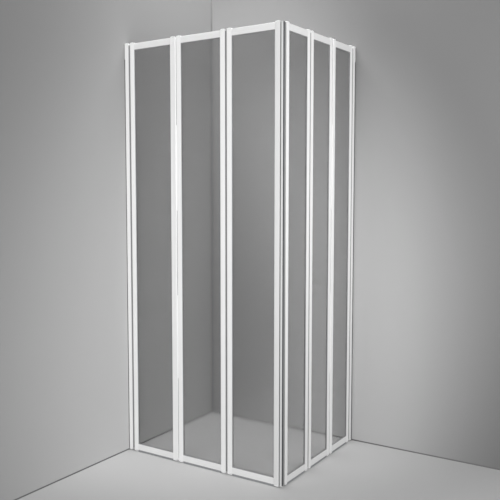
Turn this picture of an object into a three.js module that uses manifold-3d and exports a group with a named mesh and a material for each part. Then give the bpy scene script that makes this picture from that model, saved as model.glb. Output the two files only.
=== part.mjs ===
// A corner-entry folding shower enclosure. Two doors meet at the free corner, and each door is three framed
// glass panels that fold on full-height hinges from a profile on its own wall. There is no track above or
// below, so the hinges alone carry the doors.
//
// Millimetres, +Z up. The left door lies along X and the right door along Y. The origin is the middle of the
// bounding box, on the floor. Each door is drawn in its side's own frame: x runs from the free corner along
// the outer face to the wall, y runs from the outer face into the shower, and z is up.

import * as THREE from "three";
import { mergeVertices } from "three/addons/utils/BufferGeometryUtils.js";
import Module from "manifold-3d";

const wasm = await Module();
wasm.setup();

// Overall sizes
const overallHeight = 1850;
const floorGap = 4; // under the feet of the stiles

// Fits shared by all pieces
const seat = 0.3; // between two pieces that are fixed together
const overrun = 2; // how far a cutting shape runs past the face that it cuts
const roundSides = 16;

// Panels, three alike in each door
const leftPanelWidth = 244.5;
const rightPanelWidth = 206;
const frameDepth = 12;
const stileWidth = 23;
const railHeight = 27;
const capRise = 5; // how far the end caps stand past the rails
const capDome = 4; // rise of the arc at the end of a cap
const capArchMargin = 0.3; // how much wider than the cap that arc is, on each side
const capArchSteps = 6;
const capSkirt = 3; // how far a cap fills the end of its profile
const railBottom = floorGap + capRise;
const railTop = overallHeight - capRise;

// Frame profile, one extrusion for stiles and rails
const profileSkin = 1.6;
const profileBack = 3;
const profileLip = 2;
const profileCornerRadius = 1.5;
const profileCornerSteps = 3;
const faceGrooveWidth = 1.6;
const faceGrooveDepth = 0.7;
const faceGroovePlaceShare = 0.62; // of the profile's width, from its back

// Glass
const glassThickness = 4;
const glassBite = 8; // how far the pane reaches into the frame

// Hinges
const rodRadius = 1.5;
const rodClearance = 0.1;
const barrelWall = 1.8;
const barrelSteps = 8;
const barrelGap = 1.1; // from a barrel to the stile that it doesn't belong to
const foldGap = 1.2; // between two panels folded flat
const hingeWebThickness = 2.2;
const hingeWebSetback = 0.3; // from the panel's face
const hingeWebRoot = 1; // how far a web runs into its profile
const hingeEndGap = 3; // from the rails' ends to the barrels' ends
const knuckleCount = 5;
const knuckleGap = 0.4;
const rodHeadRadius = 2.8;
const rodHeadHeight = 1.4;
const barrelRadius = rodRadius + rodClearance + barrelWall;
const hingeGap = 2 * (barrelRadius + barrelGap);
const axisOffset = foldGap / 2; // from the panel's face out to the hinge axis

// Bottom seals
const sealBaseWidth = 8;
const sealBaseHeight = 2;
const sealFinThickness = 2;

// Closing seals at the free corner
const cornerClearance = 1; // from the left door's last stile to the right door's inner plane
const sealHeadLength = 8.5;
const sealNeckThickness = 4;
const sealLipThickness = 2;
const magnetWidth = 5;
const sealMeetingGap = 0.6; // from the left door's inner plane to the right door's magnet
const rightSealWidth = 15.1;
const rightMagnetWidth = 3;
const rightSealSetback = 1.5; // from the faces of the frame
const rightSealGrooveWidth = 2;
const rightSealGrooveDepth = 1.5;

// Wall profiles: a channel screwed to the wall, and a hinge profile that slides over it and is pulled out as
// far as its side of the shower needs
const leftPullOut = 0.8;
const rightPullOut = 5.3;
const wallProfileDepth = 18;
const hingeProfileSkin = 1.4;
const hingeProfileWallGap = 2.7; // left to the wall when it is pushed in
const channelReach = 20;
const channelSkin = 1.4;
const channelBack = 1.5;
const shortestCover = hingeProfileSkin + seat + channelReach; // both profiles, pushed in
const hingeProfileReach = shortestCover - hingeProfileWallGap;
const capPlugLength = 10;
const wallHoleRadius = 2.6;
const wallHoleHeightShares = [0.1, 0.5, 0.9]; // of the overall height
const screwRadius = 1.6;
const screwClearance = 0.3;
const screwHeadRadius = 3;
const screwHeadHeight = 1.6;
const screwLength = 6;
const screwInset = 12.5; // from the hinge profile's edge
const lockingScrewNames = ["bottom", "middle", "top"];
const lockingScrewHeightShares = [0.08, 0.54, 0.92]; // of the overall height

// The panels of one door, from the free corner to the wall, with the hinge at each edge. Inner hinges stand
// proud of the inner face, and the barrels nearer the wall interleave with the others.
const panelHinges = [
  { place: "corner", cornerHinge: null, wallHinge: { inner: true, nearWall: false } },
  {
    place: "middle",
    cornerHinge: { inner: true, nearWall: true },
    wallHinge: { inner: false, nearWall: false },
  },
  {
    place: "wall",
    cornerHinge: { inner: false, nearWall: true },
    wallHinge: { inner: true, nearWall: false },
  },
];

// Where each door starts and ends, counted from the free corner
const leftDoorWidth = panelHinges.length * (leftPanelWidth + hingeGap);
const rightDoorWidth = panelHinges.length * (rightPanelWidth + hingeGap);
const leftStart = frameDepth + cornerClearance;
const leftWidth = leftStart + leftDoorWidth + shortestCover + leftPullOut;
const rightStart = frameDepth + sealMeetingGap + rightSealWidth + seat;
const rightWidth = rightStart + rightDoorWidth + shortestCover + rightPullOut;
const barrelProud = axisOffset + barrelRadius;

// Finishes: colour, roughness, metalness
const finishes = {
  lacquer: [0xeceeee, 0.35, 0.1],
  glass: [0x8b8f92, 0.08, 0],
  vinyl: [0x9a9c9c, 0.6, 0],
  whiteVinyl: [0xdfe1e1, 0.5, 0],
  magnet: [0x55575a, 0.7, 0],
  plastic: [0xe6e8e8, 0.4, 0],
  steel: [0xc0c3c5, 0.3, 1],
};

// A closed geometry as a solid that can be joined and cut
function solidOf(geometry) {
  const bare = geometry.clone();
  bare.deleteAttribute("normal");
  bare.deleteAttribute("uv");
  const merged = mergeVertices(bare);
  return new wasm.Manifold(
    new wasm.Mesh({
      numProp: 3,
      vertProperties: merged.attributes.position.array,
      triVerts: new Uint32Array(merged.index.array),
    }),
  );
}

function geometryOf(solid) {
  const mesh = solid.getMesh();
  const geometry = new THREE.BufferGeometry();
  geometry.setAttribute("position", new THREE.BufferAttribute(mesh.vertProperties, 3));
  geometry.setIndex(new THREE.BufferAttribute(mesh.triVerts, 1));
  geometry.computeVertexNormals();
  return geometry;
}

function node(name, geometry, finish) {
  const [color, roughness, metalness] = finishes[finish];
  const mesh = new THREE.Mesh(geometry, new THREE.MeshStandardMaterial({ color, roughness, metalness }));
  mesh.name = name;
  return mesh;
}

// A block between two corners
function block([x0, y0, z0], [x1, y1, z1]) {
  const box = new THREE.BoxGeometry(x1 - x0, y1 - y0, z1 - z0);
  box.translate((x0 + x1) / 2, (y0 + y1) / 2, (z0 + z1) / 2);
  return box;
}

// An upright round bar at x, y
function post(radius, x, y, z0, z1) {
  const bar = new THREE.CylinderGeometry(radius, radius, z1 - z0, roundSides);
  bar.rotateX(Math.PI / 2);
  bar.translate(x, y, (z0 + z1) / 2);
  return bar;
}

// An outline in x, y raised from z0 to z1
function raised(shape, z0, z1, curveSegments = profileCornerSteps) {
  const solid = new THREE.ExtrudeGeometry(shape, { depth: z1 - z0, bevelEnabled: false, curveSegments });
  solid.translate(0, 0, z0);
  return solid;
}

function outline(points) {
  return new THREE.Shape(points.map(([x, y]) => new THREE.Vector2(x, y)));
}

// A rounded rectangle from 0, 0
function roundedRectangle(width, depth) {
  const r = profileCornerRadius;
  const shape = new THREE.Shape();
  shape.moveTo(r, 0);
  shape.absarc(width - r, r, r, -Math.PI / 2, 0);
  shape.absarc(width - r, depth - r, r, 0, Math.PI / 2);
  shape.absarc(r, depth - r, r, Math.PI / 2, Math.PI);
  shape.absarc(r, r, r, Math.PI, -Math.PI / 2);
  return shape;
}

// A rounded bar from z0 to z1 that ends in a dome, as a solid. Its foot is domed too or cut square.
function domedBar(width, depth, z0, z1, footDome) {
  const reach = width / 2 + capArchMargin;
  const arch = new THREE.Shape();
  if (footDome) {
    arch.absellipse(width / 2, z0 + capDome, reach, capDome, Math.PI, 2 * Math.PI);
  } else {
    arch.moveTo(-capArchMargin, z0 - overrun);
    arch.lineTo(width + capArchMargin, z0 - overrun);
  }
  arch.absellipse(width / 2, z1 - capDome, reach, capDome, 0, Math.PI);
  const vault = raised(arch, -depth - overrun, overrun, capArchSteps);
  vault.rotateX(Math.PI / 2);
  const bar = raised(roundedRectangle(width, depth), footDome ? z0 - overrun : z0, z1 + overrun);
  return solidOf(bar).intersect(solidOf(vault));
}

// Cuts the frame profile's inside from a solid bar: a chamber, the slot between two lips where the glass
// enters at x = width, and one shallow groove along the outer face at y = 0
function hollowed(bar, width, z0, z1) {
  const slot = glassThickness / 2 + seat;
  const middle = frameDepth / 2;
  const lip = width - profileLip;
  const chamber = outline([
    [profileBack, profileSkin],
    [lip, profileSkin],
    [lip, middle - slot],
    [width + overrun, middle - slot],
    [width + overrun, middle + slot],
    [lip, middle + slot],
    [lip, frameDepth - profileSkin],
    [profileBack, frameDepth - profileSkin],
  ]);
  const line = width * faceGroovePlaceShare;
  const groove = outline([
    [line - faceGrooveWidth, -faceGrooveDepth],
    [line + faceGrooveWidth, -faceGrooveDepth],
    [line, faceGrooveDepth],
  ]);
  return bar.subtract(solidOf(raised(chamber, z0, z1))).subtract(solidOf(raised(groove, z0, z1)));
}

// The levels of the barrels that belong to one side of a hinge. The side nearer the wall has the even ones.
function knuckleLevels(nearWall) {
  const bottom = railBottom + hingeEndGap;
  const pitch = (railTop - hingeEndGap - bottom + knuckleGap) / knuckleCount;
  const levels = [];
  for (let i = nearWall ? 0 : 1; i < knuckleCount; i += 2) {
    const start = bottom + i * pitch;
    levels.push([start, start + pitch - knuckleGap]);
  }
  return levels;
}

// One barrel and its web in x, y, at the edge x = 0 of a profile. It stands proud of the panels' inner face,
// or of their outer face.
function knuckleOutline(inner) {
  const side = inner ? 1 : -1;
  const middle = frameDepth / 2;
  const x = -hingeGap / 2;
  const y = middle + side * (middle + axisOffset);
  const near = axisOffset + hingeWebSetback;
  const far = near + hingeWebThickness;
  const [start, end] = [near, far].map((depth) => -side * Math.asin(depth / barrelRadius));
  const shape = new THREE.Shape();
  shape.moveTo(hingeWebRoot, y - side * far);
  shape.lineTo(hingeWebRoot, y - side * near);
  shape.absarc(x, y, barrelRadius, start, end, !inner);
  const bore = new THREE.Path();
  bore.absarc(x, y, rodRadius + rodClearance, 0, 2 * Math.PI);
  shape.holes.push(bore);
  return shape;
}

// Adds the barrels of one side of a hinge to a profile
function withBarrels(solid, { inner, nearWall }) {
  const section = knuckleOutline(inner);
  const barrels = knuckleLevels(nearWall).map(([z0, z1]) => solidOf(raised(section, z0, z1, barrelSteps)));
  return barrels.reduce((joined, barrel) => joined.add(barrel), solid);
}

// An upright of a panel, with its hinge edge at x = 0 and its glass slot at x = stileWidth. The closing
// stiles have no hinge.
function stile(name, hinge) {
  const bar = domedBar(stileWidth, frameDepth, floorGap, overallHeight, true);
  const hollow = hollowed(bar, stileWidth, railBottom + capSkirt, railTop - capSkirt);
  return node(name, geometryOf(hinge ? withBarrels(hollow, hinge) : hollow), "lacquer");
}

// How long the pieces between the stiles of a panel are
function clearWidth(panelWidth) {
  return panelWidth - 2 * (stileWidth + seat);
}

// A crossbar from x = 0, with its glass slot facing up from z = 0 to railHeight
function rail(name, length) {
  const bar = solidOf(raised(roundedRectangle(railHeight, frameDepth), 0, length));
  const crossbar = geometryOf(hollowed(bar, railHeight, -overrun, length + overrun));
  crossbar.rotateY(-Math.PI / 2);
  crossbar.translate(length, 0, 0);
  return node(name, crossbar, "lacquer");
}

function glassPane(name, panelWidth) {
  const overlap = stileWidth - glassBite;
  const lift = railHeight - glassBite;
  const y = (frameDepth - glassThickness) / 2;
  const pane = block(
    [overlap, y, railBottom + lift],
    [panelWidth - overlap, y + glassThickness, railTop - lift],
  );
  return node(name, pane, "glass");
}

// A soft strip under the bottom rail: a base against the rail and a fin that touches the floor
function bottomSeal(name, length) {
  const top = railBottom - seat;
  const base = sealBaseWidth / 2;
  const fin = sealFinThickness / 2;
  const section = outline([
    [-fin, 0],
    [fin, 0],
    [fin, top - sealBaseHeight],
    [base, top - sealBaseHeight],
    [base, top],
    [-base, top],
    [-base, top - sealBaseHeight],
    [-fin, top - sealBaseHeight],
  ]);
  const strip = raised(section, 0, length);
  strip.rotateX(Math.PI / 2);
  strip.rotateZ(Math.PI / 2);
  return node(name, strip, "vinyl");
}

// One framed panel, from x = 0 at its corner side to x = panelWidth at its wall side
function panel(prefix, panelWidth, cornerHinge, wallHinge) {
  const group = new THREE.Group();
  const length = clearWidth(panelWidth);
  group.add(stile(`${prefix}_corner_stile`, cornerHinge));

  const wallStile = stile(`${prefix}_wall_stile`, wallHinge);
  wallStile.position.x = panelWidth;
  wallStile.scale.x = -1;
  group.add(wallStile);

  const bottom = rail(`${prefix}_bottom_rail`, length);
  bottom.position.set(stileWidth + seat, 0, railBottom);
  group.add(bottom);

  const top = rail(`${prefix}_top_rail`, length);
  top.position.set(stileWidth + seat, 0, railTop);
  top.scale.z = -1;
  group.add(top);

  group.add(glassPane(`${prefix}_glass`, panelWidth));

  const seal = bottomSeal(`${prefix}_bottom_seal`, length);
  seal.position.set(stileWidth + seat, frameDepth / 2, 0);
  group.add(seal);
  return group;
}

// The pin of one hinge. Its head rests on the top barrel.
function hingeRod(name) {
  const top = railTop - hingeEndGap + seat;
  const rod = solidOf(post(rodRadius, 0, 0, railBottom, top + rodHeadHeight / 2));
  const head = solidOf(post(rodHeadRadius, 0, 0, top, top + rodHeadHeight));
  return node(name, geometryOf(rod.add(head)), "steel");
}

// The white strip on the left door's last stile: a thin neck that bends, and a head that holds the magnet
// and closes the corner. Its outer lip hides the magnet.
function leftClosingSeal() {
  const neck = (frameDepth - sealNeckThickness) / 2;
  const section = outline([
    [0, 0],
    [sealHeadLength, 0],
    [sealHeadLength, neck],
    [leftStart - seat, neck],
    [leftStart - seat, neck + sealNeckThickness],
    [sealHeadLength, neck + sealNeckThickness],
    [sealHeadLength, frameDepth],
    [magnetWidth + seat, frameDepth],
    [magnetWidth + seat, sealLipThickness],
    [0, sealLipThickness],
  ]);
  return node("left_closing_seal", raised(section, railBottom, railTop), "whiteVinyl");
}

function leftMagnetStrip() {
  const strip = block(
    [0, sealLipThickness + seat, railBottom],
    [magnetWidth, frameDepth, railTop],
  );
  return node("left_magnet_strip", strip, "magnet");
}

// The grey strip on the right door's last stile, with a groove where it bends, and its magnet
function rightClosingSeal() {
  const start = rightStart - seat - rightSealWidth + rightMagnetWidth + seat;
  const end = rightStart - seat;
  const groove = (start + end) / 2;
  const section = outline([
    [start, rightSealSetback],
    [groove - rightSealGrooveWidth / 2, rightSealSetback],
    [groove, rightSealSetback + rightSealGrooveDepth],
    [groove + rightSealGrooveWidth / 2, rightSealSetback],
    [end, rightSealSetback],
    [end, frameDepth - rightSealSetback],
    [start, frameDepth - rightSealSetback],
  ]);
  return node("right_closing_seal", raised(section, railBottom, railTop), "vinyl");
}

function rightMagnetStrip() {
  const start = rightStart - seat - rightSealWidth;
  const strip = block(
    [start, rightSealSetback, railBottom],
    [start + rightMagnetWidth, frameDepth - rightSealSetback, railTop],
  );
  return node("right_magnet_strip", strip, "magnet");
}

// The hinge profile, open towards the wall, with the wall hinge's barrels on its edge x = 0
function hingeProfile(name) {
  const inside = wallProfileDepth - hingeProfileSkin;
  const section = outline([
    [0, 0],
    [hingeProfileReach, 0],
    [hingeProfileReach, hingeProfileSkin],
    [hingeProfileSkin, hingeProfileSkin],
    [hingeProfileSkin, inside],
    [hingeProfileReach, inside],
    [hingeProfileReach, wallProfileDepth],
    [0, wallProfileDepth],
  ]);
  let solid = solidOf(raised(section, railBottom, railTop));
  for (const share of lockingScrewHeightShares) {
    solid = solid.subtract(screwHole(share, inside, wallProfileDepth));
  }
  return node(name, geometryOf(withBarrels(solid, { inner: true, nearWall: true })), "lacquer");
}

// A hole for a locking screw through the skin from y0 to y1
function screwHole(share, y0, y1) {
  const hole = post(screwRadius + screwClearance, 0, 0, y0 - overrun, y1 + overrun);
  hole.rotateX(-Math.PI / 2);
  hole.translate(screwInset, 0, overallHeight * share);
  return solidOf(hole);
}

// The channel on the wall, open towards the hinge profile. cover is how wide the two profiles are together.
function wallChannel(name, cover) {
  const outer = hingeProfileSkin + seat;
  const inner = wallProfileDepth - outer;
  const start = cover - channelReach;
  const section = outline([
    [start, outer],
    [cover, outer],
    [cover, inner],
    [start, inner],
    [start, inner - channelSkin],
    [cover - channelBack, inner - channelSkin],
    [cover - channelBack, outer + channelSkin],
    [start, outer + channelSkin],
  ]);
  let solid = solidOf(raised(section, railBottom, railTop));
  for (const share of wallHoleHeightShares) {
    const hole = post(wallHoleRadius, 0, 0, -overrun, channelBack + overrun);
    hole.rotateY(Math.PI / 2);
    hole.translate(cover - channelBack, wallProfileDepth / 2, overallHeight * share);
    solid = solid.subtract(solidOf(hole));
  }
  for (const share of lockingScrewHeightShares) {
    solid = solid.subtract(screwHole(share, inner - channelSkin, inner));
  }
  return node(name, geometryOf(solid), "lacquer");
}

// The cap on the top end of a wall profile, with a plug inside the channel
function profileCap(name, cover) {
  const flange = hingeProfileSkin + channelSkin + 2 * seat;
  const cap = domedBar(cover, wallProfileDepth, railTop + seat, overallHeight, false);
  const plug = block(
    [cover - channelReach, flange, railTop - capPlugLength],
    [cover - channelBack - seat, wallProfileDepth - flange, overallHeight - capDome],
  );
  return node(name, geometryOf(cap.add(solidOf(plug))), "plastic");
}

// A screw that locks the hinge profile on its channel, driven from inside the shower
function lockingScrew(name) {
  const shank = solidOf(post(screwRadius, 0, 0, -screwLength, seat + screwHeadHeight / 2));
  const head = solidOf(post(screwHeadRadius, 0, 0, seat, seat + screwHeadHeight));
  const screw = geometryOf(shank.add(head));
  screw.rotateX(-Math.PI / 2);
  return node(name, screw, "steel");
}

// Everything that stays on one wall, with x = 0 at the hinge profile's free edge
function wallSide(side, cover) {
  const group = new THREE.Group();
  group.add(wallChannel(`${side}_wall_channel`, cover));
  group.add(hingeProfile(`${side}_hinge_profile`));
  group.add(profileCap(`${side}_profile_top_cap`, cover));
  const foot = profileCap(`${side}_profile_bottom_cap`, cover);
  foot.position.z = railTop + railBottom;
  foot.scale.z = -1;
  group.add(foot);
  lockingScrewNames.forEach((level, i) => {
    const screw = lockingScrew(`${side}_locking_screw_${level}`);
    screw.position.set(screwInset, wallProfileDepth, overallHeight * lockingScrewHeightShares[i]);
    group.add(screw);
  });
  return group;
}

// One door with its wall profile. start is where its first stile begins, and the wall is at wallDistance.
function doorSide(side, panelWidth, start, wallDistance) {
  const group = new THREE.Group();
  let edge = start;
  for (const { place, cornerHinge, wallHinge } of panelHinges) {
    const framed = panel(`${side}_${place}_panel`, panelWidth, cornerHinge, wallHinge);
    framed.position.x = edge;
    group.add(framed);
    const rod = hingeRod(`${side}_${place}_hinge_rod`);
    const axis = wallHinge.inner ? frameDepth + axisOffset : -axisOffset;
    rod.position.set(edge + panelWidth + hingeGap / 2, axis, 0);
    group.add(rod);
    edge += panelWidth + hingeGap;
  }
  const wall = wallSide(side, wallDistance - edge);
  wall.position.x = edge;
  group.add(wall);
  return group;
}

const enclosure = new THREE.Group();
enclosure.name = "shower_enclosure";

const left = doorSide("left", leftPanelWidth, leftStart, leftWidth);
left.add(leftClosingSeal());
left.add(leftMagnetStrip());
left.scale.x = -1;
enclosure.add(left);

const right = doorSide("right", rightPanelWidth, rightStart, rightWidth);
right.add(rightClosingSeal());
right.add(rightMagnetStrip());
right.rotation.z = Math.PI / 2;
enclosure.add(right);

enclosure.position.set((leftWidth - barrelProud) / 2, (barrelProud - rightWidth) / 2, 0);

export default enclosure;
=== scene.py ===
"""A corner shower enclosure: two folding doors of three framed glass panels each, hung from wall profiles."""

import math

import bmesh
import bpy
from mathutils import Matrix, Vector


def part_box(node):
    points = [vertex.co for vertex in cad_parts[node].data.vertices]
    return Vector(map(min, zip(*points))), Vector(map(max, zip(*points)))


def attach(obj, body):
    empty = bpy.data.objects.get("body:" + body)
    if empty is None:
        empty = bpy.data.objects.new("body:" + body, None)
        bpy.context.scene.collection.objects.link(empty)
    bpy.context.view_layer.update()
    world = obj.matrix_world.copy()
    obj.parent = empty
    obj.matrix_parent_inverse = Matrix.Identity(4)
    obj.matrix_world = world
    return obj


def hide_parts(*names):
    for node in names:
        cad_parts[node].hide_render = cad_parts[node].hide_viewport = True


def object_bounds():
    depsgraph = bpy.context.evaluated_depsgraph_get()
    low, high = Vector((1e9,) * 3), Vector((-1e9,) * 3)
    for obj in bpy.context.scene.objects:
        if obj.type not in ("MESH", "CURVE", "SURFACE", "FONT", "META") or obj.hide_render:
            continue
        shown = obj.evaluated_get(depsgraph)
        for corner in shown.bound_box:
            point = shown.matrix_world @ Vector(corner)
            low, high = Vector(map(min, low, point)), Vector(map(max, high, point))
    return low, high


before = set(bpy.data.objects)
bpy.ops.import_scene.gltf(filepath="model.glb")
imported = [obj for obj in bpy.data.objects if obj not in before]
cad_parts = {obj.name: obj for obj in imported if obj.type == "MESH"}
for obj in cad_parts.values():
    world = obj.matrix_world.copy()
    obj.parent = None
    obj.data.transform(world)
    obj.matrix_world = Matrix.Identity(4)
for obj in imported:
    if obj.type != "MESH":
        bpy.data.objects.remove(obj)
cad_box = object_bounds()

# The camera
# It stands 3 m in front of the free corner, a little left of its middle and just above the enclosure's half
# height. Its place and lens come from the edges of the stiles and rails in the photograph.

PICTURE = 500
CAMERA_PLACE = Vector((1.7807, -2.9234, 1.2096))
AZIMUTH, ELEVATION, ROLL = (math.radians(a) for a in (35.38, 4.41, -0.329))
FOCAL_PIXELS = 742.4
AXIS_PIXEL = (190, 244.9)

camera_data = bpy.data.cameras.new("camera")
camera_data.sensor_width = 36
camera_data.lens = FOCAL_PIXELS * camera_data.sensor_width / PICTURE
camera_data.shift_x = (PICTURE / 2 - AXIS_PIXEL[0]) / PICTURE
camera_data.shift_y = (AXIS_PIXEL[1] - PICTURE / 2) / PICTURE
camera = bpy.data.objects.new("camera", camera_data)
bpy.context.scene.collection.objects.link(camera)
camera.matrix_world = (
    Matrix.Translation(CAMERA_PLACE)
    @ Matrix.Rotation(AZIMUTH, 4, "Z")
    @ Matrix.Rotation(math.pi / 2 - ELEVATION, 4, "X")
    @ Matrix.Rotation(ROLL, 4, "Z")
)
bpy.context.scene.camera = camera
bpy.context.scene.view_settings.view_transform = "Standard"

# The room
# Two plain painted walls meet in a square corner over a plain floor, all pale grey. Painted shade darkens them
# away from the enclosure, and the walls towards the room's corner, and thin lines of painted shade run along the
# foot of each wall and up the corner. The walls can't be seen from behind and have a slot behind each channel,
# which lets light on its back. The light is soft: a dim surround and three large lamps.

SIDES = ("left", "right")
SURROUND_GREY = "#8f8f8f"
SURROUND_LIGHT = 0.36
WALL_LENGTH, WALL_HEIGHT, WALL_GAP, SLOT_EDGE = 4.0, 2.7, 0.0005, 0.001  # metres
WALL_FACES = (0, 1, 2, 4, 6, 8, 9, 10)  # in a grid of three by three, each by its first corner: the slot is 5
# Painted shade lines: darker grey along the foot of each wall and up the room's corner, for the shade in these
# creases.
FLOOR_SHADE_LINE_GREY, FLOOR_LINE_HEIGHT, FLOOR_LINE_BLUR = "#6f6f6f", 0.005, 0.002
CORNER_SHADE_LINE_GREY, CORNER_LINE_WIDTH, CORNER_LINE_BLUR = "#7a7a7a", 0.006, 0.001
CORNER_SHADE_REACH = 0.75
FLOOR_SOLID, FLOOR_END = 3.0, 5.0  # metres from the middle
FLOOR_SIDES = 96
# Painted shade: each surface's grey goes from near to far with its distance from its middle point.
PAINT_AND_SHADE = {
    "left_wall": {
        "near": "#c6c6c6",
        "corner": "#f6f6f6",
        "far": "#7a7a7a",
        "middle": (-0.4, 0.81, -0.05),
        "start": 1.1,
        "end": 2.7,
    },
    "right_wall": {
        "near": "#c8c8c8",
        "corner": "#dcdcdc",
        "far": "#6e6e6e",
        "middle": (-1.0, 0.35, 0.4),
        "start": 1.25,
        "end": 2.25,
    },
    "floor": {
        "near": "#c1c1c1",
        "far": "#9a9a9a",
        "middle": (-0.42, 0.34, 0),
        "start": 0.75,
        "end": 1.45,
    },
}
LAMPS = {
    "right_lamp": {"place": (2.1, -0.7, 1.4), "aim": (0.4, 0, 1.2), "size": 1.1, "power": 31},
    "front_lamp": {"place": (0.0, -3.1, 1.2), "aim": (0, -0.35, 1.1), "size": 1.7, "power": 47},
    "top_lamp": {"place": (-0.1, -0.1, 3.0), "aim": (-0.1, -0.1, 0), "size": 1.2, "power": 46},
}


def linear(colour):
    """An sRGB hex colour as linear red, green, blue and alpha."""
    shares = [int(colour[i : i + 2], 16) / 255 for i in (1, 3, 5)]
    return [s / 12.92 if s <= 0.04045 else ((s + 0.055) / 1.055) ** 2.4 for s in shares] + [1]


def node(tree, kind, inputs=None, **settings):
    """Adds a node with its settings. Each input gets a value, or a link from another node's output."""
    made = tree.nodes.new(kind)
    for name, value in settings.items():
        setattr(made, name, value)
    for name, value in (inputs or {}).items():
        if isinstance(value, bpy.types.NodeSocket):
            tree.links.new(value, made.inputs[name])
        else:
            made.inputs[name].default_value = value
    return made


def new_material(name):
    """An empty material and its node tree."""
    material = bpy.data.materials.new(name)
    material.use_nodes = True
    material.node_tree.nodes.clear()
    return material, material.node_tree


def matt_paint_and_shade(surface):
    """Matt grey emulsion, with painted shade: it darkens with its distance from a point near the enclosure."""
    paint = PAINT_AND_SHADE[surface]
    material, tree = new_material(f"matt_grey_shaded_{surface}_paint")
    place = node(tree, "ShaderNodeTexCoord").outputs["Object"]
    distance = node(tree, "ShaderNodeVectorMath", {0: place, 1: paint["middle"]}, operation="DISTANCE")
    share = node(
        tree,
        "ShaderNodeMapRange",
        {"Value": distance.outputs["Value"], "From Min": paint["start"], "From Max": paint["end"]},
        interpolation_type="SMOOTHSTEP",
    )
    grey = node(
        tree,
        "ShaderNodeMix",
        {0: share.outputs["Result"], 6: linear(paint["near"]), 7: linear(paint["far"])},
        data_type="RGBA",
    )
    matt = node(tree, "ShaderNodeBsdfDiffuse", {"Color": grey.outputs[2]})
    return material, tree, place, matt


def see_through(tree, paint, hidden):
    """Ends a stage material: where hidden is 1, the surface isn't there."""
    clear = node(tree, "ShaderNodeBsdfTransparent").outputs["BSDF"]
    mixed = node(tree, "ShaderNodeMixShader", {0: hidden, 1: paint, 2: clear})
    node(tree, "ShaderNodeOutputMaterial", {"Surface": mixed.outputs["Shader"]})


floor_material, tree, place, matt = matt_paint_and_shade("floor")
distance = node(tree, "ShaderNodeVectorMath", {0: place}, operation="LENGTH").outputs["Value"]
fade = node(
    tree,
    "ShaderNodeMapRange",
    {"Value": distance, "From Min": FLOOR_SOLID, "From Max": FLOOR_END},
    interpolation_type="SMOOTHSTEP",
)
see_through(tree, matt.outputs["BSDF"], fade.outputs["Result"])

bpy.ops.mesh.primitive_circle_add(vertices=FLOOR_SIDES, radius=FLOOR_END, fill_type="NGON")
floor = bpy.context.object
floor.name = "floor"
floor.data.materials.append(floor_material)

corner_x, corner_y = cad_box[0][0] - WALL_GAP, cad_box[1][1] + WALL_GAP
for side in SIDES:
    name = f"{side}_wall"
    wall_material, tree, place, matt = matt_paint_and_shade(name)
    painted = matt.inputs["Color"].links[0].from_socket
    split = node(tree, "ShaderNodeSeparateXYZ", {0: place}).outputs
    along, corner, way = (split["Y"], corner_y, -1) if side == "left" else (split["X"], corner_x, 1)
    # Painted shade: the wall's grey is multiplied darker near the room's corner, and thin lines of painted shade
    # are mixed in along the floor and up the corner.
    for blend, tone, level, start, width in (
        ("MULTIPLY", PAINT_AND_SHADE[name]["corner"], along, corner, way * CORNER_SHADE_REACH),
        ("MIX", FLOOR_SHADE_LINE_GREY, split["Z"], FLOOR_LINE_HEIGHT, FLOOR_LINE_BLUR),
        ("MIX", CORNER_SHADE_LINE_GREY, along, corner + way * CORNER_LINE_WIDTH, way * CORNER_LINE_BLUR),
    ):
        share = node(
            tree,
            "ShaderNodeMapRange",
            {"Value": level, "From Min": start, "From Max": start + width, "To Min": 1, "To Max": 0},
            interpolation_type="SMOOTHSTEP",
        )
        painted = node(
            tree,
            "ShaderNodeMix",
            {0: share.outputs["Result"], 6: painted, 7: linear(tone)},
            data_type="RGBA",
            blend_type=blend,
        ).outputs[2]
    tree.links.new(painted, matt.inputs["Color"])
    behind = node(tree, "ShaderNodeNewGeometry").outputs["Backfacing"]
    shadow = node(tree, "ShaderNodeLightPath").outputs["Is Shadow Ray"]
    hidden = node(tree, "ShaderNodeMath", {0: behind, 1: shadow}, operation="MAXIMUM")
    see_through(tree, matt.outputs["BSDF"], hidden.outputs["Value"])
    low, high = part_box(f"{side}_wall_channel")
    if side == "left":
        slot = (corner_y - high.y, corner_y - low.y)
    else:
        slot = (low.x - corner_x, high.x - corner_x)
    lengths = (0, slot[0] + SLOT_EDGE, slot[1] - SLOT_EDGE, WALL_LENGTH)
    heights = (0, SLOT_EDGE, cad_box[1][2] - SLOT_EDGE, WALL_HEIGHT)
    corners = [
        (corner_x, corner_y - length, height) if side == "left" else (corner_x + length, corner_y, height)
        for height in heights
        for length in lengths
    ]
    faces = []
    for first in WALL_FACES:
        above = first + len(lengths)
        face = (first, first + 1, above + 1, above)
        faces.append(face[::-1] if side == "left" else face)
    mesh = bpy.data.meshes.new(name)
    mesh.from_pydata(corners, [], faces)
    mesh.materials.append(wall_material)
    wall = bpy.data.objects.new(name, mesh)
    bpy.context.scene.collection.objects.link(wall)

world = bpy.data.worlds.new("studio")
bpy.context.scene.world = world
world.use_nodes = True
tree = world.node_tree
tree.nodes.clear()
path = node(tree, "ShaderNodeLightPath").outputs
seen = path["Is Camera Ray"]
for ray in ("Is Glossy Ray", "Is Transmission Ray"):
    seen = node(tree, "ShaderNodeMath", {0: seen, 1: path[ray]}, operation="MAXIMUM").outputs["Value"]
light = node(tree, "ShaderNodeBackground", {"Color": linear("#ffffff"), "Strength": SURROUND_LIGHT})
shown = node(tree, "ShaderNodeBackground", {"Color": linear(SURROUND_GREY), "Strength": 1})
mixed = node(tree, "ShaderNodeMixShader", {0: seen, 1: light.outputs[0], 2: shown.outputs[0]})
node(tree, "ShaderNodeOutputWorld", {"Surface": mixed.outputs[0]})

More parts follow.
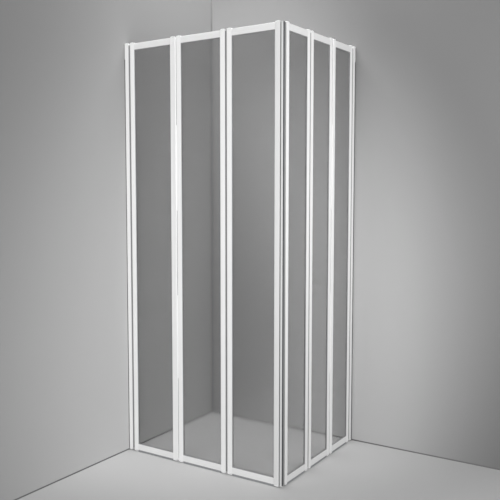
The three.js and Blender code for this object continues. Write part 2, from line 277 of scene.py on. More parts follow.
for name, lamp in LAMPS.items():
    data = bpy.data.lights.new(name, "AREA")
    data.shape = "DISK"
    data.size = lamp["size"]
    data.energy = lamp["power"]
    made = bpy.data.objects.new(name, data)
    bpy.context.scene.collection.objects.link(made)
    made.location = lamp["place"]
    made.rotation_euler = (Vector(lamp["place"]) - Vector(lamp["aim"])).to_track_quat("Z", "Y").to_euler()
    made.visible_transmission = False

# Wall profiles
# On each wall a channel is screwed down, and a wider hinge profile slides over it. Both are extruded aluminium
# with a white polyester powder coat, baked on: an even white, satin, with the faint waves called orange peel.

COAT_WHITE = "#ededed"
COAT_SHADE = "#e6e6e6"
ORANGE_PEEL = 2.4  # millimetres from one wave to the next
PEEL_DEPTH = 0.03
BATCH_TONE = 260  # millimetres between slightly greyer places
COAT_ROUGHNESS = (0.42, 0.52)


def waves(tree, place, size, detail=2.0):
    """A soft noise at a place, with patches of about that many millimetres."""
    return node(
        tree, "ShaderNodeTexNoise", {"Vector": place, "Scale": 1000 / size, "Detail": detail}
    ).outputs["Fac"]


def powder_coat(name, white=COAT_WHITE, shade=COAT_SHADE):
    """White powder coat: the colour and gloss change a little over a hand's width, and the surface waves."""
    material, tree = new_material(name)
    place = node(tree, "ShaderNodeTexCoord").outputs["Object"]
    tone = waves(tree, place, BATCH_TONE)
    colour = node(tree, "ShaderNodeMix", {0: tone, 6: linear(white), 7: linear(shade)}, data_type="RGBA")
    gloss = node(
        tree,
        "ShaderNodeMapRange",
        {"Value": tone, "To Min": COAT_ROUGHNESS[0], "To Max": COAT_ROUGHNESS[1]},
    )
    peel = node(
        tree,
        "ShaderNodeBump",
        {"Strength": 0.25, "Distance": PEEL_DEPTH / 1000, "Height": waves(tree, place, ORANGE_PEEL, 1.0)},
    )
    surface = node(
        tree,
        "ShaderNodeBsdfPrincipled",
        {
            "Base Color": colour.outputs[2],
            "Roughness": gloss.outputs["Result"],
            "Normal": peel.outputs["Normal"],
            "IOR": 1.5,
        },
    )
    node(tree, "ShaderNodeOutputMaterial", {"Surface": surface.outputs["BSDF"]})
    return material


def finish(name, material):
    """Gives a solid of the frame its finish."""
    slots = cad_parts[name].data.materials
    slots.clear()
    slots.append(material)


profile_coat = powder_coat("powder_coated_aluminium_profile")
for side in SIDES:
    finish(f"{side}_wall_channel", profile_coat)
    finish(f"{side}_hinge_profile", profile_coat)

# Silicone joints
# Grey sanitary silicone fills the slit between each wall and the hinge profile, outside the channel, from the
# floor nearly to the top cap. It is smoothed with a wet finger, so it is hollow, glossy and a little uneven. Its
# dark grey is partly the silicone's and partly painted shade, for the shade in the slit.

# The silicone's grey is darkened as painted shade of the slit.
SILICONE_GREY_AND_SLIT_SHADE, SILICONE_DARKER_AND_SLIT_SHADE = "#666767", "#5e5f5f"
SILICONE_TONE, RIPPLE, RIPPLE_DEPTH = 40, 12, 0.3  # millimetres
SILICONE_DEPTH, SILICONE_LIP = 1.65, 0.8  # millimetres behind and before the profile's face
SILICONE_TOP, SILICONE_STEP = 1780, 20
SILICONE_EDGE, SILICONE_ROOM = 0.1, 0.05  # how far the edge at the wall lies back, and its room to the wall
HOLLOW_LIP_SHARE, HOLLOW_START, HOLLOW_END = 0.35, 0.25, 0.6  # shares of the lip and of the slit's width
FINGER_WANDER, FINGER_WAVES = 0.15, (47, 131)

silicone, tree = new_material("tooled_grey_silicone_and_painted_shade")
place = node(tree, "ShaderNodeTexCoord").outputs["Object"]
tone = waves(tree, place, SILICONE_TONE)
colour = node(
    tree,
    "ShaderNodeMix",
    {0: tone, 6: linear(SILICONE_GREY_AND_SLIT_SHADE), 7: linear(SILICONE_DARKER_AND_SLIT_SHADE)},
    data_type="RGBA",
)
ripple = node(
    tree,
    "ShaderNodeBump",
    {"Strength": 0.4, "Distance": RIPPLE_DEPTH / 1000, "Height": waves(tree, place, RIPPLE)},
)
surface = node(
    tree,
    "ShaderNodeBsdfPrincipled",
    {"Base Color": colour.outputs[2], "Roughness": 0.35, "Normal": ripple.outputs["Normal"], "IOR": 1.41},
)
node(tree, "ShaderNodeOutputMaterial", {"Surface": surface.outputs["BSDF"]})


def mesh_object(name, made, material, same_place=1e-6, sharp_angle=35):
    """A new object from a bmesh, shaded smooth up to a sharp angle, with its faces turned outwards."""
    bmesh.ops.remove_doubles(made, verts=made.verts, dist=same_place)
    bmesh.ops.recalc_face_normals(made, faces=made.faces)
    for edge in made.edges:
        edge.smooth = edge.calc_face_angle(0) < math.radians(sharp_angle)
    for face in made.faces:
        face.smooth = True
    mesh = bpy.data.meshes.new(name)
    made.to_mesh(mesh)
    made.free()
    mesh.materials.append(material)
    piece = bpy.data.objects.new(name, mesh)
    bpy.context.scene.collection.objects.link(piece)
    return piece


for side in SIDES:
    low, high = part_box(f"{side}_hinge_profile")
    if side == "left":
        slit = 1000 * (low.x - cad_box[0][0])
    else:
        slit = 1000 * (cad_box[1][1] - high.y)
    made = bmesh.new()
    rings = []
    for step in range(SILICONE_TOP // SILICONE_STEP + 1):
        height = step * SILICONE_STEP
        wander = math.sin(height / FINGER_WAVES[0]) * math.cos(height / FINGER_WAVES[1])
        lip = SILICONE_LIP + FINGER_WANDER * wander
        ring = []
        for out, off in (
            (-SILICONE_DEPTH, 0),
            (lip, 0),
            (lip * HOLLOW_LIP_SHARE, slit * HOLLOW_START),
            (0, slit * HOLLOW_END),
            (-SILICONE_EDGE, slit - SILICONE_ROOM),
            (-SILICONE_DEPTH, slit - SILICONE_ROOM),
        ):
            out, off = out / 1000, off / 1000
            if side == "left":
                corner = Vector((cad_box[0][0] + off, low.y - out, height / 1000))
            else:
                corner = Vector((high.x + out, cad_box[1][1] - off, height / 1000))
            ring.append(made.verts.new(corner))
        rings.append(ring)
    for lower, upper in zip(rings, rings[1:]):
        for i in range(len(lower)):
            j = (i + 1) % len(lower)
            made.faces.new((lower[i], lower[j], upper[j], upper[i]))
    made.faces.new(rings[0])
    made.faces.new(rings[-1])
    piece = mesh_object(f"{side}_silicone_joint", made, silicone)
    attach(piece, "wall_profiles")

# Profile caps
# Injection-moulded ABS covers, pushed into the ends of the wall profiles. The plastic is a little bluer and
# glossier than the coat, with the fine spark-eroded grain of its mould.

ABS_WHITE = "#eeefef"
ABS_SHADE = "#e7e8e8"
ABS_TONE, MOULD_GRAIN, GRAIN_DEPTH = 30, 0.6, 0.02  # millimetres

cap_plastic, tree = new_material("moulded_white_abs")
place = node(tree, "ShaderNodeTexCoord").outputs["Object"]
tone = waves(tree, place, ABS_TONE)
colour = node(tree, "ShaderNodeMix", {0: tone, 6: linear(ABS_WHITE), 7: linear(ABS_SHADE)}, data_type="RGBA")
grain = node(
    tree,
    "ShaderNodeBump",
    {"Strength": 0.3, "Distance": GRAIN_DEPTH / 1000, "Height": waves(tree, place, MOULD_GRAIN)},
)
surface = node(
    tree,
    "ShaderNodeBsdfPrincipled",
    {"Base Color": colour.outputs[2], "Roughness": 0.3, "Normal": grain.outputs["Normal"], "IOR": 1.53},
)
node(tree, "ShaderNodeOutputMaterial", {"Surface": surface.outputs["BSDF"]})
for side in SIDES:
    for end in ("top", "bottom"):
        finish(f"{side}_profile_{end}_cap", cap_plastic)

# Hinge rods
# Drawn stainless steel rod, 3 mm thick, that runs through all the barrels of a hinge. Drawing leaves very fine
# lines along it, which blur its shine across.

STEEL_GREY = "#c4c6c8"
DRAWN_LINES = 0.25  # millimetres from one line to the next
LINE_LENGTH_SHARE = 0.01  # of the pattern's scale, along the rod
ROD_ROUGHNESS = (0.22, 0.38)

rod_steel, tree = new_material("drawn_stainless_steel")
place = node(tree, "ShaderNodeTexCoord").outputs["Object"]
stretched = node(tree, "ShaderNodeMapping", {"Vector": place, "Scale": (1, 1, LINE_LENGTH_SHARE)})
lines = waves(tree, stretched.outputs["Vector"], DRAWN_LINES)
blur = node(
    tree, "ShaderNodeMapRange", {"Value": lines, "To Min": ROD_ROUGHNESS[0], "To Max": ROD_ROUGHNESS[1]}
)
surface = node(
    tree,
    "ShaderNodeBsdfPrincipled",
    {"Base Color": linear(STEEL_GREY), "Metallic": 1, "Roughness": blur.outputs["Result"]},
)
node(tree, "ShaderNodeOutputMaterial", {"Surface": surface.outputs["BSDF"]})
for side in SIDES:
    for hinge in ("wall", "middle", "corner"):
        finish(f"{side}_{hinge}_hinge_rod", rod_steel)

# Locking screws
# Stainless pan-head screws, three to a side, that lock the hinge profile on its channel once the door hangs
# plumb. The head is a low dome, cold-formed and tumbled bright, with a cross recess.

HEAD_RADIUS, HEAD_HEIGHT, SHANK_RADIUS, SHANK_LENGTH = 3.0, 1.6, 1.6, 6.0  # millimetres
RECESS_REACH, RECESS_WIDTH, RECESS_DEPTH, RECESS_FOOT_SHARE = 1.7, 0.75, 1.0, 0.45
RECESS_CUT_ROOM = 0.2  # the cutter stands this far over the head
THREAD_PITCH, THREAD_DEPTH = 0.7, 0.22
DOME_SHARES = (0.0, 0.25, 0.5, 0.75, 0.9, 1.0)  # of the quarter turn from the rim to the middle
RIM_SHARE, DOME_SHARE = 0.35, 0.65  # of the head's height
HEAD_STEPS = 32
TUMBLED_DENTS, DENT_DEPTH = 0.8, 0.02
SCREW_ROUGHNESS = (0.2, 0.34)

screw_steel, tree = new_material("tumbled_stainless_steel")
place = node(tree, "ShaderNodeTexCoord").outputs["Object"]
spots = waves(tree, place, TUMBLED_DENTS)
blur = node(
    tree, "ShaderNodeMapRange", {"Value": spots, "To Min": SCREW_ROUGHNESS[0], "To Max": SCREW_ROUGHNESS[1]}
)
dents = node(tree, "ShaderNodeBump", {"Strength": 0.2, "Distance": DENT_DEPTH / 1000, "Height": spots})
surface = node(
    tree,
    "ShaderNodeBsdfPrincipled",
    {
        "Base Color": linear(STEEL_GREY),
        "Metallic": 1,
        "Roughness": blur.outputs["Result"],
        "Normal": dents.outputs["Normal"],
    },
)
node(tree, "ShaderNodeOutputMaterial", {"Surface": surface.outputs["BSDF"]})


def turned(profile, steps):
    """A closed round body from a profile of radius and height, which starts and ends on the axis."""
    made = bmesh.new()
    rings = []
    for radius, height in profile:
        if radius == 0:
            rings.append([made.verts.new((0, 0, height))] * steps)
            continue
        angles = [2 * math.pi * i / steps for i in range(steps)]
        rings.append([made.verts.new((radius * math.cos(a), radius * math.sin(a), height)) for a in angles])
    for lower, upper in zip(rings, rings[1:]):
        for i in range(steps):
            j = (i + 1) % steps
            corners = dict.fromkeys((lower[i], lower[j], upper[j], upper[i]))
            made.faces.new(list(corners))
    bmesh.ops.recalc_face_normals(made, faces=made.faces)
    return made


def screw_mesh():
    """One screw in metres, with the seat of its head at z = 0 and its head upwards."""
    profile = [(0, -SHANK_LENGTH)]
    height = -SHANK_LENGTH
    while height < -THREAD_PITCH:
        profile += [(SHANK_RADIUS - THREAD_DEPTH, height), (SHANK_RADIUS, height + THREAD_PITCH / 2)]
        height += THREAD_PITCH
    profile += [(SHANK_RADIUS - THREAD_DEPTH, height), (SHANK_RADIUS - THREAD_DEPTH, 0), (HEAD_RADIUS, 0)]
    for share in DOME_SHARES:
        turn = share * math.pi / 2
        dome = HEAD_HEIGHT * (RIM_SHARE + DOME_SHARE * math.sin(turn))
        profile.append((HEAD_RADIUS * math.cos(turn) if share < 1 else 0, dome))
    head = bpy.data.meshes.new("screw_blank")
    made = turned(profile, HEAD_STEPS)
    made.to_mesh(head)
    made.free()
    blank = bpy.data.objects.new("screw_blank", head)
    made = bmesh.new()
    for turn in (0, math.pi / 2):
        block = bmesh.ops.create_cube(made, size=1)["verts"]
        for corner in block:
            share = RECESS_FOOT_SHARE if corner.co.z < 0 else 1
            corner.co.x *= 2 * RECESS_REACH * share
            corner.co.y *= RECESS_WIDTH * (share + 1) / 2
            corner.co.z = HEAD_HEIGHT + (RECESS_CUT_ROOM if corner.co.z > 0 else -RECESS_DEPTH)
        bmesh.ops.rotate(made, verts=block, cent=(0, 0, 0), matrix=Matrix.Rotation(turn, 3, "Z"))
    cross = bpy.data.meshes.new("screw_recess")
    made.to_mesh(cross)
    made.free()
    cutter = bpy.data.objects.new("screw_recess", cross)
    for solid in (blank, cutter):
        bpy.context.scene.collection.objects.link(solid)
    cut = blank.modifiers.new("recess", "BOOLEAN")
    cut.operation, cut.object, cut.solver, cut.use_self = "DIFFERENCE", cutter, "EXACT", True
    graph = bpy.context.evaluated_depsgraph_get()
    result = bpy.data.meshes.new_from_object(blank.evaluated_get(graph))
    result.transform(Matrix.Scale(0.001, 4))
    for solid in (blank, cutter):
        bpy.data.objects.remove(solid)
    return result


screw = screw_mesh()
for side in SIDES:
    for level in ("bottom", "middle", "top"):
        name = f"{side}_locking_screw_{level}"
        low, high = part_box(name)
        middle = (low + high) / 2
        if side == "left":
            seat = Vector((middle.x, high.y - HEAD_HEIGHT / 1000, middle.z))
            turn = Matrix.Rotation(-math.pi / 2, 4, "X")
        else:
            seat = Vector((low.x + HEAD_HEIGHT / 1000, middle.y, middle.z))
            turn = Matrix.Rotation(-math.pi / 2, 4, "Y")
        made = bmesh.new()
        made.from_mesh(screw)
        made.transform(Matrix.Translation(seat) @ turn)
        piece = mesh_object(f"{name}_detailed", made, screw_steel)
        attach(piece, "wall_profiles")
        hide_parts(name)
bpy.data.meshes.remove(screw)

# Panel frames
# Stiles and rails of one extruded aluminium section, powder-coated like the profiles, butted together and
# screwed through the stiles. A moulded cap with a domed end closes each end of a stile, with a fine seam drawn
# as a thin grey line of painted shade. The rails and the left stile at the free corner have a greyer white, as
# painted shade.

PANELS = [f"{side}_{place}_panel" for side in SIDES for place in ("wall", "middle", "corner")]
SEAM = 0.25  # millimetres
# The seam is painted shade: a thin grey line where each cap meets its stile.
SEAM_SHADE_GREY = "#909090"
# Painted shade: the rails get a greyer white than the stiles, for the shade on them.
SHADED_RAIL_WHITE, SHADED_RAIL_TONE = "#e3e3e3", "#dcdcdc"  # the rails are a little greyer than the stiles
CLOSING_STILE = "left_corner_panel_corner_stile"
# Painted shade: the left stile at the free corner gets a greyer white too, for the shade on it.
SHADED_CLOSING_WHITE, SHADED_CLOSING_TONE = "#dcdcdc", "#d5d5d5"  # and so is the left stile at the free corner

frame_coat = powder_coat("powder_coated_aluminium_frame", white=SHADED_RAIL_WHITE, shade=SHADED_RAIL_TONE)
for panel in PANELS:
    for end in ("top", "bottom"):
        finish(f"{panel}_{end}_rail", frame_coat)

extrusion_ends = (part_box("left_wall_panel_bottom_rail")[0].z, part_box("left_wall_panel_top_rail")[1].z)
other_stiles = [f"{panel}_{edge}_stile" for panel in PANELS for edge in ("wall", "corner")]
other_stiles.remove(CLOSING_STILE)
for name, white, shade, stiles in (
    ("powder_coated_stile_with_abs_caps", COAT_WHITE, COAT_SHADE, other_stiles),
    ("powder_coated_closing_stile_with_abs_caps", SHADED_CLOSING_WHITE, SHADED_CLOSING_TONE, [CLOSING_STILE]),
):
    stile_coat = powder_coat(name, white=white, shade=shade)
    tree = stile_coat.node_tree
    surface = next(n for n in tree.nodes if n.type == "BSDF_PRINCIPLED")
    coloured = surface.inputs["Base Color"].links[0].from_socket
    place = node(tree, "ShaderNodeTexCoord").outputs["Object"]
    height = node(tree, "ShaderNodeSeparateXYZ", {0: place}).outputs["Z"]
    caps, seams = [], []
    for end, beyond in zip(extrusion_ends, ("LESS_THAN", "GREATER_THAN")):
        caps.append(node(tree, "ShaderNodeMath", {0: height, 1: end}, operation=beyond).outputs[0])
        seams.append(
            node(tree, "ShaderNodeMath", {0: height, 1: end, 2: SEAM / 1000}, operation="COMPARE").outputs[0]
        )
    for (lower, upper), colour in ((caps, ABS_WHITE), (seams, SEAM_SHADE_GREY)):
        share = node(tree, "ShaderNodeMath", {0: lower, 1: upper}, operation="MAXIMUM").outputs[0]
        coloured = node(
            tree, "ShaderNodeMix", {0: share, 6: coloured, 7: linear(colour)}, data_type="RGBA"
        ).outputs[2]
    tree.links.new(coloured, surface.inputs["Base Color"])
    for stile in stiles:
        finish(stile, stile_coat)

# Glass panes
# Toughened float glass, 4 mm thick and tinted grey in the melt. The surface is fire-polished, so it mirrors
# the room a little, and the tint takes about half of the light. Rollers leave a hardly visible long wave.

GLASS_TINT = "#c4c4c4"
GLASS_SHADOW = "#d0d0d0"
ROLLER_WAVE, WAVE_DEPTH = 280, 0.2  # millimetres

glass, tree = new_material("grey_tinted_toughened_glass")
place = node(tree, "ShaderNodeTexCoord").outputs["Object"]
wave = node(
    tree,
    "ShaderNodeBump",
    {"Strength": 0.1, "Distance": WAVE_DEPTH / 1000, "Height": waves(tree, place, ROLLER_WAVE, 0.0)},
)
surface = node(
    tree,
    "ShaderNodeBsdfPrincipled",
    {
        "Base Color": linear(GLASS_TINT),
        "Roughness": 0.1,
        "IOR": 1.52,
        "Transmission Weight": 1,
        "Normal": wave.outputs["Normal"],
    },
)
clear = node(tree, "ShaderNodeBsdfTransparent", {"Color": linear(GLASS_SHADOW)})
path = node(tree, "ShaderNodeLightPath").outputs
mixed = node(
    tree,
    "ShaderNodeMixShader",
    {0: path["Is Shadow Ray"], 1: surface.outputs["BSDF"], 2: clear.outputs["BSDF"]},
)
node(tree, "ShaderNodeOutputMaterial", {"Surface": mixed.outputs["Shader"]})
for panel in PANELS:
    finish(f"{panel}_glass", glass)

# Glazing beads
# Soft grey PVC wedges, pressed in on both faces between the glass and the lip of the frame, and mitred at the
# corners. They hold the pane and keep water out of the profile.

BEAD_WIDTH, BEAD_RISE = 3.0, 2.8  # millimetres over the glass
BEAD_CLEARANCE = 0.1
BEAD_STEPS = 6
PVC_GREY = "#8e8e8f"
PVC_GREY_SHADE = "#858586"
PVC_TONE, PVC_SKIN, SKIN_DEPTH = 60, 0.5, 0.02  # millimetres
GLOSS_CHANGE = 0.06


def vinyl(name, colour, shade, roughness):
    """Extruded soft PVC: dull, with the fine matt skin that its die leaves and a slight change of tone."""
    material, tree = new_material(name)
    place = node(tree, "ShaderNodeTexCoord").outputs["Object"]
    tone = waves(tree, place, PVC_TONE)
    mixed = node(tree, "ShaderNodeMix", {0: tone, 6: linear(colour), 7: linear(shade)}, data_type="RGBA")
    skin = waves(tree, place, PVC_SKIN)
    gloss = node(
        tree,
        "ShaderNodeMapRange",
        {"Value": skin, "To Min": roughness - GLOSS_CHANGE, "To Max": roughness + GLOSS_CHANGE},
    )
    bump = node(tree, "ShaderNodeBump", {"Strength": 0.3, "Distance": SKIN_DEPTH / 1000, "Height": skin})
    surface = node(
        tree,
        "ShaderNodeBsdfPrincipled",
        {
            "Base Color": mixed.outputs[2],
            "Roughness": gloss.outputs["Result"],
            "Normal": bump.outputs["Normal"],
            "IOR": 1.53,
        },
    )
    node(tree, "ShaderNodeOutputMaterial", {"Surface": surface.outputs["BSDF"]})
    return material


bead_vinyl = vinyl("extruded_grey_pvc_bead", PVC_GREY, PVC_GREY_SHADE, 0.5)


def bead_section(side_sign, glass_face):
    """The wedge's corner points as distance in from the frame's edge and depth, in metres."""
    points = [(BEAD_CLEARANCE, 0)]
    for i in range(BEAD_STEPS + 1):
        turn = i / BEAD_STEPS * math.pi / 2
        points.append((BEAD_CLEARANCE + BEAD_WIDTH * math.sin(turn), BEAD_RISE * math.cos(turn)))
    return [(d / 1000, glass_face + side_sign * rise / 1000) for d, rise in points]


for panel in PANELS:
    side = panel.split("_")[0]
    wall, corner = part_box(f"{panel}_wall_stile"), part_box(f"{panel}_corner_stile")
    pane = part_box(f"{panel}_glass")
    z0, z1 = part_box(f"{panel}_bottom_rail")[1].z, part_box(f"{panel}_top_rail")[0].z
    axis, depth_axis = (0, 1) if side == "left" else (1, 0)
    if side == "left":
        a0, a1 = wall[1].x, corner[0].x
    else:
        a0, a1 = corner[1].y, wall[0].y
    made = bmesh.new()
    for sign, face in ((-1, pane[0][depth_axis]), (1, pane[1][depth_axis])):
        section = bead_section(sign, face)
        rings = []
        for along_sign, up_sign, a, z in ((1, 1, a0, z0), (-1, 1, a1, z0), (-1, -1, a1, z1), (1, -1, a0, z1)):
            ring = []
            for inset, depth in section:
                point = [0, 0, z + up_sign * inset]
                point[axis] = a + along_sign * inset
                point[depth_axis] = depth
                ring.append(made.verts.new(point))
            rings.append(ring)
        for i, ring in enumerate(rings):
            following = rings[(i + 1) % len(rings)]
            for j in range(len(ring)):
                k = (j + 1) % len(ring)
                made.faces.new((ring[j], ring[k], following[k], following[j]))
    piece = mesh_object(f"{panel}_glazing_beads", made, bead_vinyl)
    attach(piece, panel)

# Bottom seals
# Grey PVC wipers clipped under the bottom rails: a flat base and two thin blades that reach the floor and
# keep the water in. Extruded by the metre and cut to each rail.

WIPER_GREY = "#8f9193"
WIPER_SHADE = "#858789"
WIPER_TOP, WIPER_BASE, WIPER_HALF_WIDTH = 8.7, 6.8, 4.0  # millimetres
BLADE_FOOT, BLADE_SPLAY, BLADE_THICKNESS = 0.2, 0.5, 0.9
WIPER_ROUNDING = 0.4


def rounded(points, radius, steps=3, most=0.45):
    """An outline with each corner rounded, over no more than that share of an edge."""
    made = []
    for i, here in enumerate(points):
        here = Vector(here)
        before, after = Vector(points[i - 1]) - here, Vector(points[(i + 1) % len(points)]) - here
        reach = min(radius, before.length * most, after.length * most)
        start, end = here + before.normalized() * reach, here + after.normalized() * reach
        for step in range(steps + 1):
            share = step / steps
            made.append(start.lerp(here, share).lerp(here.lerp(end, share), share))
    return made


def extruded(name, outlines, length, axes, origin, material):
    """A strip with this section, in millimetres. The first outline is its outer edge and the rest are hollows.
    axes are the directions of the section's two axes and of its length, which starts at origin, in metres."""
    curve = bpy.data.curves.new(name, "CURVE")
    curve.dimensions, curve.fill_mode = "2D", "BOTH"
    curve.extrude = length / 2
    for outline in outlines:
        spline = curve.splines.new("POLY")
        spline.points.add(len(outline) - 1)
        for point, (a, b) in zip(spline.points, outline):
            point.co = (a / 1000, b / 1000, 0, 1)
        spline.use_cyclic_u = True
    shaped = bpy.data.objects.new(name, curve)
    bpy.context.scene.collection.objects.link(shaped)
    graph = bpy.context.evaluated_depsgraph_get()
    mesh = bpy.data.meshes.new_from_object(shaped.evaluated_get(graph))
    bpy.data.objects.remove(shaped)
    bpy.data.curves.remove(curve)
    made = bmesh.new()
    made.from_mesh(mesh)
    bpy.data.meshes.remove(mesh)
    turn = Matrix([list(axis) for axis in axes]).transposed().to_4x4()
    middle = Matrix.Translation((0, 0, length / 2))
    made.transform(Matrix.Translation(origin) @ turn @ middle)
    return mesh_object(name, made, material)


wiper_vinyl = vinyl("extruded_grey_pvc_wiper", WIPER_GREY, WIPER_SHADE, 0.55)
foot = WIPER_HALF_WIDTH + BLADE_SPLAY
wiper = rounded(
    [
        (-WIPER_HALF_WIDTH, WIPER_TOP),
        (WIPER_HALF_WIDTH, WIPER_TOP),
        (WIPER_HALF_WIDTH, WIPER_BASE),
        (foot, BLADE_FOOT),
        (foot - BLADE_THICKNESS, BLADE_FOOT),
        (WIPER_HALF_WIDTH - BLADE_THICKNESS, WIPER_BASE),
        (BLADE_THICKNESS - WIPER_HALF_WIDTH, WIPER_BASE),
        (BLADE_THICKNESS - foot, BLADE_FOOT),
        (-foot, BLADE_FOOT),
        (-WIPER_HALF_WIDTH, WIPER_BASE),
    ],
    WIPER_ROUNDING,
)
for panel in PANELS:
    name = f"{panel}_bottom_seal"
    low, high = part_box(name)
    middle = (low + high) / 2
    if panel.startswith("left"):
        length, origin = high.x - low.x, Vector((low.x, middle.y, 0))
        axes = ((0, 1, 0), (0, 0, 1), (1, 0, 0))
    else:
        length, origin = high.y - low.y, Vector((middle.x, low.y, 0))
        axes = ((-1, 0, 0), (0, 0, 1), (0, 1, 0))
    piece = extruded(f"{panel}_wiper", [wiper], length, axes, origin, wiper_vinyl)
    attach(piece, panel)
    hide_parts(name)

# Hinge lips
# Soft grey PVC lips that close the gaps at the hinges, on the side away from the barrels. Each is glued to the
# end face of a stile or of the hinge profile by a flat back, and its rounded tip nearly meets the next one's.

LIP_BACK, LIP_REACH, LIP_THICKNESS = 1.1, 4.2, 1.6  # millimetres
LIP_ROOM = 0.05
LIP_ROUNDING = 0.6
LIP_DEPTHS = {"wall": (1.2, 3.4, 7.8), "middle": (4.4, 9.0, 11.2), "corner": (1.2, 3.4, 7.8)}
LIP_END_GAP = 4

STILE_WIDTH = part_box(CLOSING_STILE)[1].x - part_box(CLOSING_STILE)[0].x
OUTER_FACE = {
    "left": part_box(CLOSING_STILE)[0].y,
    "right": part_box("right_corner_panel_corner_stile")[1].x,
}
DOOR_AXES = {
    "left": ((-1, 0, 0), (0, 1, 0), (0, 0, 1)),
    "right": ((0, 1, 0), (-1, 0, 0), (0, 0, 1)),
}


def end_face(part, towards_wall):
    """Where the end face of a stile or hinge profile lies, counted along its door towards the wall."""
    side = part.split("_")[0]
    solid = part.replace("hinge_profile", "profile_top_cap")
    low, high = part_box(solid)
    ends = sorted((-low.x, -high.x) if side == "left" else (low.y, high.y))
    if solid != part:
        return ends[0]
    return ends[0] + STILE_WIDTH if towards_wall else ends[1] - STILE_WIDTH


for side in SIDES:
    for hinge, wall_part, corner_part in (
        ("wall", "hinge_profile", "wall_panel_wall_stile"),
        ("middle", "wall_panel_corner_stile", "middle_panel_wall_stile"),
        ("corner", "middle_panel_corner_stile", "corner_panel_wall_stile"),
    ):
        low, middle, high = LIP_DEPTHS[hinge]
        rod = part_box(f"{side}_{hinge}_hinge_rod")
        foot, head = rod[0].z + LIP_END_GAP / 1000, rod[1].z - LIP_END_GAP / 1000
        for part, way in ((wall_part, -1), (corner_part, 1)):
            name = f"{side}_{part}"
            body = name.rsplit("_", 2)[0] if part.endswith("stile") else "wall_profiles"
            face = end_face(name, towards_wall=way > 0)
            outline = [
                (LIP_ROOM, low),
                (LIP_BACK, low),
                (LIP_BACK, middle - LIP_THICKNESS / 2),
                (LIP_REACH, middle - LIP_THICKNESS / 2),
                (LIP_REACH, middle + LIP_THICKNESS / 2),
                (LIP_BACK, middle + LIP_THICKNESS / 2),
                (LIP_BACK, high),
                (LIP_ROOM, high),
            ]
            outline = rounded([(way * a, b) for a, b in outline], LIP_ROUNDING)
            axes = DOOR_AXES[side]
            origin = Vector(axes[0]) * face + Vector((0, 0, foot))
            if side == "left":
                origin.y = OUTER_FACE[side]
            else:
                origin.x = OUTER_FACE[side]
            piece = extruded(f"{name}_lip", [outline], head - foot, axes, origin, bead_vinyl)
            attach(piece, body)

# Closing seals
# PVC strips on the last stiles, where the two doors meet. The left one has a white head with a thin lip over its
# magnet, and a soft grey neck extruded with it; the neck's grey is partly painted shade of the recess beside the
# head. The right one is all grey and folds at two grooves.

SEAL_WHITE = "#d2d3d3"
SEAL_WHITE_SHADE = "#c9caca"
SEAL_GREY = "#8f9090"
SEAL_GREY_SHADE = "#868787"
HEAD_ROUNDING, SEAL_ROUNDING = 0.7, 0.5  # millimetres, as in the outlines below

seal_low, seal_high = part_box("left_closing_seal")
FREE_CORNER = Vector((seal_high.x, seal_low.y, 0))
SEAL_FOOT, SEAL_HEAD = seal_low.z, seal_high.z


def closing_strip(name, side, outlines, material, part="shaped"):
    """A strip on the last stile. Its section is counted from the free corner's outer edge along the door,
    and from the door's outer face inwards, in millimetres."""
    origin = FREE_CORNER + Vector((0, 0, SEAL_FOOT))
    piece = extruded(f"{name}_{part}", outlines, SEAL_HEAD - SEAL_FOOT, DOOR_AXES[side], origin, material)
    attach(piece, f"{side}_corner_panel")
    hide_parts(name)


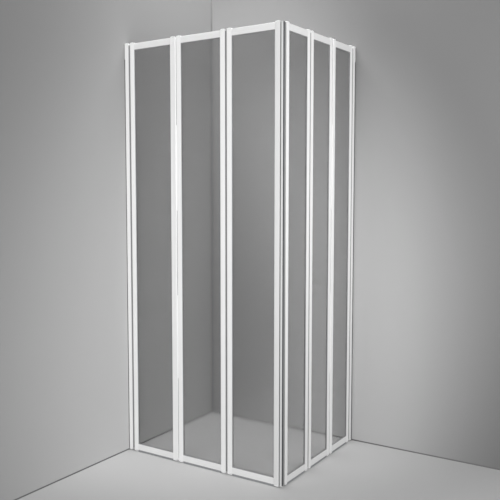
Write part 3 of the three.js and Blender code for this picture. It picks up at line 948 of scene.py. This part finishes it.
white_vinyl = vinyl("extruded_white_pvc", SEAL_WHITE, SEAL_WHITE_SHADE, 0.42)
lip_seal = [(0, 0), (8.5, 0), (8.5, 12), (5.3, 12), (5.3, 2), (0, 1.6)]
head_hollow = [(6.1, 2.2), (7.7, 2.2), (7.7, 11.2), (6.1, 11.2)]
closing_strip(
    "left_closing_seal",
    "left",
    [rounded(lip_seal, HEAD_ROUNDING), rounded(head_hollow, SEAL_ROUNDING)],
    white_vinyl,
)

grey_vinyl = vinyl("extruded_grey_pvc_fold", SEAL_GREY, SEAL_GREY_SHADE, 0.5)
# The neck's grey stands partly for the shade in the recess between the head and the stile: painted shade.
neck = [
    (8.6, 4.4),
    (11.8, 4.4),
    (11.8, 0.8),
    (12.7, 0.8),
    (12.7, 11.2),
    (11.8, 11.2),
    (11.8, 7.6),
    (8.6, 7.6),
]
closing_strip("left_closing_seal", "left", [rounded(neck, SEAL_ROUNDING)], grey_vinyl, "neck")

fold_seal = [
    (15.9, 1.5),
    (18.9, 1.5),
    (20.0, 3.6),
    (21.1, 1.5),
    (23.6, 1.5),
    (24.7, 3.6),
    (25.8, 1.5),
    (27.7, 1.5),
    (27.7, 10.5),
    (25.8, 10.5),
    (24.7, 8.4),
    (23.6, 10.5),
    (21.1, 10.5),
    (20.0, 8.4),
    (18.9, 10.5),
    (15.9, 10.5),
]
tube_hollow = [(16.7, 2.4), (18.4, 2.4), (18.4, 9.6), (16.7, 9.6)]
closing_strip(
    "right_closing_seal",
    "right",
    [rounded(fold_seal, SEAL_ROUNDING), rounded(tube_hollow, SEAL_ROUNDING)],
    grey_vinyl,
)

# Magnet strips
# Flexible strips of ferrite powder in rubber, slid into the seals' heads. They pull the doors shut at the free
# corner. The cut strip is nearly black and dull, with a fine gritty surface.

FERRITE = "#4b4c4f"
FERRITE_SHADE = "#424346"
MAGNET_ROUNDING = 0.6

magnet = vinyl("ferrite_filled_rubber", FERRITE, FERRITE_SHADE, 0.7)
left_magnet = [(0.2, 2.5), (4.9, 2.5), (4.9, 11.9), (0.2, 11.9)]
closing_strip("left_magnet_strip", "left", [rounded(left_magnet, MAGNET_ROUNDING)], magnet)
right_magnet = [(12.7, 1.6), (15.5, 1.6), (15.5, 10.4), (12.7, 10.4)]
closing_strip("right_magnet_strip", "right", [rounded(right_magnet, MAGNET_ROUNDING)], magnet)
